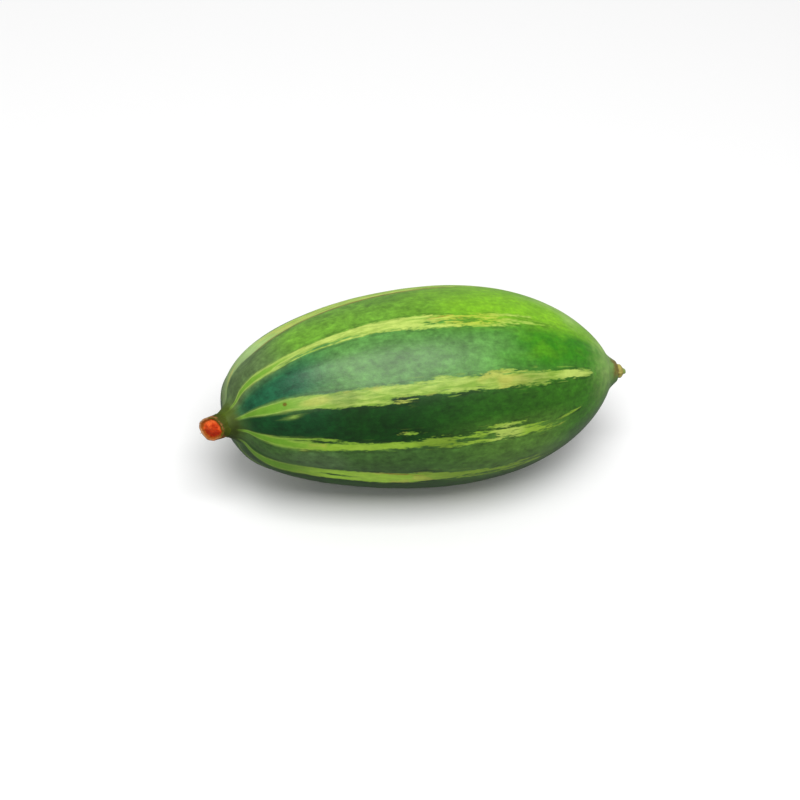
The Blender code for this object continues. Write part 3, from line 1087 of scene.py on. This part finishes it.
def ring_mesh(name, rings, first_middle, last_middle, numbers):
    """A closed mesh through rings of equally many points. Numbers are kept for each point."""
    count = len(rings[0])
    points = [point for ring in rings for point in ring] + [first_middle, last_middle]
    faces = []
    for level in range(len(rings) - 1):
        for i in range(count):
            j = (i + 1) % count
            low, high = level * count, (level + 1) * count
            faces.append((low + i, low + j, high + j, high + i))
    top = (len(rings) - 1) * count
    for i in range(count):
        j = (i + 1) % count
        faces.append((j, i, len(points) - 2))
        faces.append((top + i, top + j, len(points) - 1))
    mesh = bpy.data.meshes.new(name)
    mesh.from_pydata(points, [], faces)
    mesh.shade_smooth()
    for label, values in numbers.items():
        kind = "FLOAT_VECTOR" if len(values[0]) == 3 else "FLOAT"
        kept = mesh.attributes.new(label, kind, "POINT")
        kept.data.foreach_set("vector" if kind == "FLOAT_VECTOR" else "value", np.ravel(values))
    check = bmesh.new()
    check.from_mesh(mesh)
    bmesh.ops.recalc_face_normals(check, faces=check.faces)
    open_edges = sum(1 for edge in check.edges if len(edge.link_faces) != 2)
    check.to_mesh(mesh)
    check.free()
    piece = bpy.data.objects.new(name, mesh)
    bpy.context.scene.collection.objects.link(piece)
    print(name, "has", len(mesh.polygons), "faces and", open_edges, "open edges")
    return piece


def frame_at(direction):
    """The two directions across a ring: angle 0 and a quarter turn."""
    side = Vector((0, 0, 1)).cross(direction).normalized()
    return side, direction.cross(side)


def through(points, place):
    """Reads a line that runs straight from one (place, value) point to the next."""
    places, values = zip(*points)
    return float(np.interp(place, places, values))


# %% Name the stem's sizes
# Heights from the stem pole and radii, mm
STEM_SIDE = ((0.0, 2.55), (2.0, 2.6), (2.7, 2.55), (3.7, 2.5), (4.8, 2.46))
STEM_CUT_RADIUS = STEM_SIDE[-1][1]
STEM_RIM_HEIGHT = 5.1  # before the slant
STEM_ANGLES = 160
STEM_LEVELS = 44
STEM_CORNERS = 4
STEM_CORNER_ANGLE = math.radians(-7.0)
STEM_CORNER_SHARE = 0.05
STEM_RIB_SHARE = 0.018
STEM_RIBS = 11
STEM_ROUGH_SHARE = 0.02
STEM_SLANT = 1.25  # mm that the cut rises from its middle to its highest edge
STEM_SLANT_ANGLE = math.radians(330.0)  # where that edge is
STEM_SHORT_ANGLE = 125.0  # degrees, the middle of its short, olive side
# How far in on the cut, 0 at the rim to 1 in the middle, and the height there, mm
CUT_PROFILE = ((0.0, 0.0), (0.08, 0.06), (0.16, -0.05), (0.28, -0.3), (0.42, -0.25), (0.7, 0.0), (1.0, 0.06))
CUT_LEVELS = 26
CUT_LAST_RING = 0.97  # how far in the last ring is, before the middle point
CUT_COARSE = 0.09  # mm of torn wood on the cut
CUT_FINE = 0.05
ROUGHNESS_SEED = 5

stem_pole = centre_at(0.0)
stem_out = -direction_at(0.0)
stem_side_axis, stem_up_axis = frame_at(direction_at(0.0))
random = np.random.default_rng(ROUGHNESS_SEED)
roughness_phases = random.uniform(0, 2 * math.pi, (6, 3))
print("stem, mm:", STEM_RIM_HEIGHT, "high and", 2 * STEM_CUT_RADIUS, "thick at the cut")

# %% Shape the stem


def unevenness(angle, height):
    """Small bumps that run round and along a piece made of rings, mostly between -1 and 1."""
    total = 0.0
    for count, (a, b, c) in enumerate(roughness_phases, start=3):
        total += math.sin(count * angle + a + 1.3 * math.sin(height * 0.9 + b)) * math.cos(height * 1.7 + c)
    return total / 3.0


def stem_point(angle, radius, height):
    """A place in space, from one given round, across and up the stem in mm."""
    across = stem_side_axis * math.cos(angle) + stem_up_axis * math.sin(angle)
    return stem_pole + across * (radius * MM) + stem_out * (height * MM)


stem_rings, stem_place, stem_inward = [], [], []
side_heights = np.linspace(STEM_SIDE[0][0], STEM_RIM_HEIGHT, STEM_LEVELS)
levels = [(height, 0.0) for height in side_heights]
levels += [(STEM_RIM_HEIGHT, share) for share in np.linspace(0, CUT_LAST_RING, CUT_LEVELS)[1:]]
for height, inward in levels:
    points = []
    for i in range(STEM_ANGLES):
        angle = 2 * math.pi * i / STEM_ANGLES
        grown = min(1.0, max(0.0, height / STEM_RIM_HEIGHT))
        corners = STEM_CORNER_SHARE * math.cos(STEM_CORNERS * (angle - STEM_CORNER_ANGLE))
        ribs = STEM_RIB_SHARE * math.cos(STEM_RIBS * angle + 1.5 * math.sin(angle))
        rough = STEM_ROUGH_SHARE * unevenness(angle, height)
        radius = through(STEM_SIDE, height) * (1 + grown * (corners + ribs + rough))
        radius *= 1 - inward
        lift = STEM_SLANT * grown**2 * math.cos(angle - STEM_SLANT_ANGLE) * (1 - inward)
        if inward > 0:
            torn = CUT_COARSE * unevenness(2 * angle, 4 * inward)
            torn += CUT_FINE * unevenness(5 * angle, 9 * inward)
            lift += through(CUT_PROFILE, inward) + torn * (1 - inward) ** 0.5
        points.append(stem_point(angle, radius, height + lift))
        stem_place.append((height, radius * math.cos(angle), radius * math.sin(angle)))
        stem_inward.append((inward,))
    stem_rings.append(points)
middle_height = STEM_RIM_HEIGHT + CUT_PROFILE[-1][1]
stem_place += [(STEM_SIDE[0][0], 0.0, 0.0), (STEM_RIM_HEIGHT, 0.0, 0.0)]
stem_inward += [(0.0,), (1.0,)]
stem = ring_mesh(
    "cut_stem",
    stem_rings,
    stem_point(0.0, 0.0, STEM_SIDE[0][0]),
    stem_point(0.0, 0.0, middle_height),
    {"stem_place": stem_place, "inward": stem_inward},
)

# %% [markdown]
# ## Torn fibres round the cut
#
# The knife leaves short fibres standing round the rim. Bumps in the finish wouldn't break the rim's
# outline, so each fibre is a thin cone. A small Geometry Nodes tree sets one on each point of a ring,
# with its own length and lean, so no two look alike.

# %% Set fibres round the rim
FIBRE_SIZES = {
    "Fibres": 27,
    "Ring radius": 2.3 * MM,
    "Length": 0.34 * MM,
    "Thickness": 0.075 * MM,
    "Lean": 0.7,
    "Seed": 11,
}
FIBRE_SIDES = 5
FIBRE_TIP = 0.01 * MM
FIBRE_SCALES = (0.45, 1.25)
fibre_tree, fibre = start_shape("torn fibres", FIBRE_SIZES)
rim_circle = fibre_tree.node(
    "GeometryNodeMeshCircle", None, {"Vertices": fibre["Fibres"], "Radius": fibre["Ring radius"]}
)
cone = fibre_tree.node(
    "GeometryNodeMeshCone",
    None,
    {
        "Vertices": FIBRE_SIDES,
        "Radius Top": FIBRE_TIP,
        "Radius Bottom": fibre["Thickness"],
        "Depth": fibre["Length"],
    },
)


def random_number(root, low, high, seed):
    return root.node(
        "FunctionNodeRandomValue", {"data_type": "FLOAT"}, {2: low, 3: high, "Seed": seed}, output=1
    )


fibre_lean = combine(
    fibre_tree,
    random_number(fibre_tree, -1.0, 1.0, fibre["Seed"]) * fibre["Lean"],
    random_number(fibre_tree, -1.0, 1.0, fibre["Seed"] + 1.0) * fibre["Lean"],
    0.0,
)
# Fibres on the short side of the stem hardly show
rim_x, rim_y, _ = separate(fibre_tree.node("GeometryNodeInputPosition"))
short_turn = math.radians(STEM_SHORT_ANGLE)
short_way = (rim_x * math.cos(short_turn) + rim_y * math.sin(short_turn)) / fibre["Ring radius"]
shown = 1 - fade(short_way, -0.3, 0.5) * 0.75
fibre_scale = random_number(fibre_tree, *FIBRE_SCALES, fibre["Seed"] + 2.0) * shown
standing = fibre_tree.node(
    "GeometryNodeInstanceOnPoints",
    None,
    {
        "Points": rim_circle,
        "Instance": cone,
        "Rotation": fibre_lean,
        "Scale": combine(fibre_tree, fibre_scale, fibre_scale, fibre_scale),
    },
)
# Onto the cut: the ring's own frame, then the slant
standing = fibre_tree.node("GeometryNodeRealizeInstances", None, {"Geometry": standing})
fibre_x, fibre_y, fibre_z = separate(fibre_tree.node("GeometryNodeInputPosition"))
slant_way = fibre_x * math.cos(STEM_SLANT_ANGLE) + fibre_y * math.sin(STEM_SLANT_ANGLE)
fibre_height = fibre_z + slant_way * (STEM_SLANT / STEM_CUT_RADIUS) + STEM_RIM_HEIGHT * MM
on_side = stretched(combine(fibre_tree, *stem_side_axis), fibre_x)
on_top = stretched(combine(fibre_tree, *stem_up_axis), fibre_y)
outward = stretched(combine(fibre_tree, *stem_out), fibre_height)
across_stem = vector_math("ADD", on_side, on_top)
placed = vector_math("ADD", across_stem, vector_math("ADD", outward, tuple(stem_pole)))
standing = fibre_tree.node("GeometryNodeSetPosition", None, {"Geometry": standing, "Position": placed})
longest = FIBRE_SIZES["Length"] / MM * FIBRE_SCALES[1]
print(FIBRE_SIZES["Fibres"], "fibres of up to", round(longest, 2), "mm")

# %% [markdown]
# ### The stem's finish
#
# The short side of the stem is olive up to the cut, and the long side is dry and brown. On the cut one
# number, how far in a point is, orders rim, brown ring and pith like the rings of a target. Streaks shift
# it, so that the rings don't look drawn with compasses. The pith is painted brighter towards the light, as a
# painted highlight.

# %% Give the stem and its fibres their finish
BARK = screen(164, 104, 64)
BARK_DARK = screen(112, 60, 32)
BARK_OLIVE = screen(64, 74, 4)
RIM_TAN = screen(196, 148, 102)
RIM_OLIVE = screen(100, 94, 8)
RIM_BROWN = screen(186, 118, 68)
CUT_BROWN = screen(158, 78, 4)
# The orange of a painted highlight on the pith
PITH_PAINTED_HIGHLIGHT = screen(255, 112, 48)
PITH_RED = screen(232, 82, 18)
PITH_DEEP = screen(182, 40, 0)
FIBRE_TAN = screen(158, 106, 60)
LONG_SIDE_ANGLE = 210.0
PITH_PAINTED_LIGHT_ANGLE = 55.0
WIDE_RING_ANGLE = 150.0  # where the brown ring is a little wider

stem_material, bark = start_material("cut_stem")
on_stem = attribute(bark, "stem_place", "Vector")
inward = attribute(bark, "inward")
up_stem, _, _ = separate(on_stem)
bark_streaks = noise(on_stem, 3.0, 0.5, 3.0, 3.0)
bark_specks = noise(on_stem, 0.7, 0.4, 3.0, 9.0)
pith_patch = noise(on_stem, 2.0, 1.3, 2.0, 21.0)


def stem_side_at(angle):
    """From -1 on the far side of the stem to 1 on its side at that angle, and 0 in its middle."""
    turn = math.radians(angle)
    across = (0.0, math.cos(turn) / STEM_CUT_RADIUS, math.sin(turn) / STEM_CUT_RADIUS)
    return dot(on_stem, across)


short_side = fade(stem_side_at(STEM_SHORT_ANGLE), 0.1, 0.8)
olive_edge = up_stem + (bark_streaks - 0.5) * 1.6 - short_side * 1.2
foot = fade(up_stem + (bark_streaks - 0.5) * 2.0, 3.8, 2.2)
side_colour = layered(
    BARK_DARK,
    (fade(bark_streaks, 0.4, 0.65), BARK),
    (fade(olive_edge, 4.3, 3.2), BARK_OLIVE),
    (foot, tint(COLLAR, bark_specks * 0.4 + 0.95)),
)
rim_colour = layered(
    RIM_TAN,
    (fade(stem_side_at(LONG_SIDE_ANGLE), 0.0, 0.7), RIM_BROWN),
    (fade(stem_side_at(STEM_SHORT_ANGLE), 0.0, 0.6), RIM_OLIVE),
)
# Painted highlight: the pith turns from deep red to bright orange towards the light, with patches
pith_painted_light = stem_side_at(PITH_PAINTED_LIGHT_ANGLE) * 0.5 + (pith_patch - 0.5) * 1.4
pith = layered(
    PITH_DEEP, (fade(pith_painted_light, -0.35, 0.2), PITH_RED), (fade(pith_painted_light, -0.1, 0.3), PITH_PAINTED_HIGHLIGHT)
)
ring_edge = inward + (bark_streaks - 0.5) * 0.14 - stem_side_at(WIDE_RING_ANGLE) * 0.02
cut_colour = layered(
    rim_colour, (fade(ring_edge, 0.10, 0.20), CUT_BROWN), (fade(ring_edge, 0.20, 0.40), pith)
)
stem_colour = blend(fade(inward, 0.0, 0.03), side_colour, cut_colour)
moist = fade(ring_edge, 0.35, 0.5)
finish_material(
    bark,
    {
        "Base Color": tint(stem_colour, bark_specks * 0.5 + 0.75),
        "Roughness": 0.72 - moist * 0.34,
        "Specular IOR Level": 0.22,
        "Normal": bark.node(
            "ShaderNodeBump", None, {"Distance": MM, "Height": bark_streaks * 0.16 + bark_specks * 0.12}
        ),
    },
)
stem.data.materials.append(stem_material)
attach(stem, "root")
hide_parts("stem_stub")

fibre_material, fibre_finish = start_material("torn_fibre")
fibre_at = fibre_finish.node("ShaderNodeTexCoord", None, None, "Object")
fibre_grain = noise(fibre_at, 0.9 * MM, 0.4 * MM)
fibre_colour = blend(fibre_grain, FIBRE_TAN, CUT_BROWN)
finish_material(fibre_finish, {"Base Color": fibre_colour, "Roughness": 0.75})
torn_fibres = keep_shape(fibre_tree, standing, fibre_material, "torn_fibres", FIBRE_SIZES)
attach(torn_fibres, "root")

# %% [markdown]
# ## The dried flower remnant
#
# At the other end a dry nub is left of the flower. It is brown and wrinkled where it joins the fruit,
# tan on its shoulder and pale green at its small tip. Petals could be modelled one by one, but they
# have shrunk into one lump. So rings make it, as they made the stem, with folds that fade to the tip.

# %% Shape the flower remnant
# Heights from the end of the beak and radii, mm
REMNANT_SIDE = (
    (-0.45, 1.50), (0.0, 1.42), (0.25, 1.36), (0.5, 1.40), (0.8, 1.38), (1.05, 1.22),
    (1.25, 0.98), (1.4, 0.76), (1.55, 0.62), (1.75, 0.55), (1.95, 0.44), (2.1, 0.22),
)
REMNANT_ANGLES = 96
REMNANT_LEVELS = 48
REMNANT_FOLDS = 9
REMNANT_FOLD_DEPTH = 0.07  # share of the radius
REMNANT_FOLD_END = 1.9  # mm, the height where the folds have gone
REMNANT_ROUGH_SHARE = 0.03
REMNANT_RING_SWAY = 0.06  # mm that a ring goes up and down
REMNANT_DROOP = 0.35  # mm that the tip hangs down

remnant_out = direction_at(FRUIT_LENGTH)
beak_end = centre_at(FRUIT_LENGTH) + remnant_out * BEAK_LENGTH
remnant_side_axis, remnant_up_axis = frame_at(remnant_out)


def remnant_point(angle, radius, height):
    """A place in space, from one given round, across and along the remnant in mm."""
    across = remnant_side_axis * math.cos(angle) + remnant_up_axis * math.sin(angle)
    droop = remnant_up_axis * (-REMNANT_DROOP * max(0.0, height / REMNANT_SIDE[-1][0]) ** 2)
    return beak_end + across * (radius * MM) + remnant_out * (height * MM) + droop * MM


remnant_rings, remnant_place = [], []
for height in np.linspace(REMNANT_SIDE[0][0], REMNANT_SIDE[-1][0], REMNANT_LEVELS):
    points = []
    for i in range(REMNANT_ANGLES):
        angle = 2 * math.pi * i / REMNANT_ANGLES
        folds = REMNANT_FOLD_DEPTH * math.cos(REMNANT_FOLDS * angle + 0.8 * math.sin(2 * angle) + height)
        folds *= max(0.0, 1 - height / REMNANT_FOLD_END)
        rough = REMNANT_ROUGH_SHARE * unevenness(angle, height * 4)
        radius = through(REMNANT_SIDE, height) * (1 + folds + rough)
        lift = REMNANT_RING_SWAY * unevenness(3 * angle, height)
        points.append(remnant_point(angle, radius, min(height + lift, REMNANT_SIDE[-1][0])))
        remnant_place.append((height, radius * math.cos(angle), radius * math.sin(angle)))
    remnant_rings.append(points)
remnant_ends = (REMNANT_SIDE[0][0], REMNANT_SIDE[-1][0])
remnant_place += [(height, 0.0, 0.0) for height in remnant_ends]
remnant = ring_mesh(
    "dried_flower",
    remnant_rings,
    remnant_point(0.0, 0.0, remnant_ends[0]),
    remnant_point(0.0, 0.0, remnant_ends[1]),
    {"remnant_place": remnant_place},
)

# %% Give the remnant its finish
REMNANT_BROWN = screen(112, 92, 30)
REMNANT_TAN = screen(170, 160, 80)
REMNANT_TIP = screen(138, 162, 80)

remnant_material, husk = start_material("dried_flower")
on_remnant = attribute(husk, "remnant_place", "Vector")
up_remnant, _, _ = separate(on_remnant)
wrinkles = noise(on_remnant, 0.8, 0.25, 3.0, 4.0)
husk_place = up_remnant + (wrinkles - 0.5) * 0.5
husk_colour = layered(
    REMNANT_BROWN, (fade(husk_place, 0.05, 0.45), REMNANT_TAN), (fade(husk_place, 1.2, 1.55), REMNANT_TIP)
)
finish_material(
    husk,
    {
        "Base Color": tint(husk_colour, wrinkles * 0.7 + 0.65),
        "Roughness": 0.8,
        "Normal": husk.node("ShaderNodeBump", None, {"Distance": MM, "Height": wrinkles * 0.15}),
    },
)
remnant.data.materials.append(remnant_material)
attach(remnant, "root")
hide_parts("blossom_remnant")
print("remnant, mm long:", REMNANT_SIDE[-1][0])

# %% [markdown]
# ## Measuring
#
# A dressed model must keep the size of the solid one. It could be measured by eye in a view, but two boxes
# in numbers leave no doubt, so both are kept as numbers and the dressed size is printed.

# %% Measure the result and finish
boxes = {"cad": [list(v) for v in cad_box], "visual": [list(v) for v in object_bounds()]}
print("dressed model, mm:", [round((high - low) / MM, 1) for low, high in zip(*boxes["visual"])])
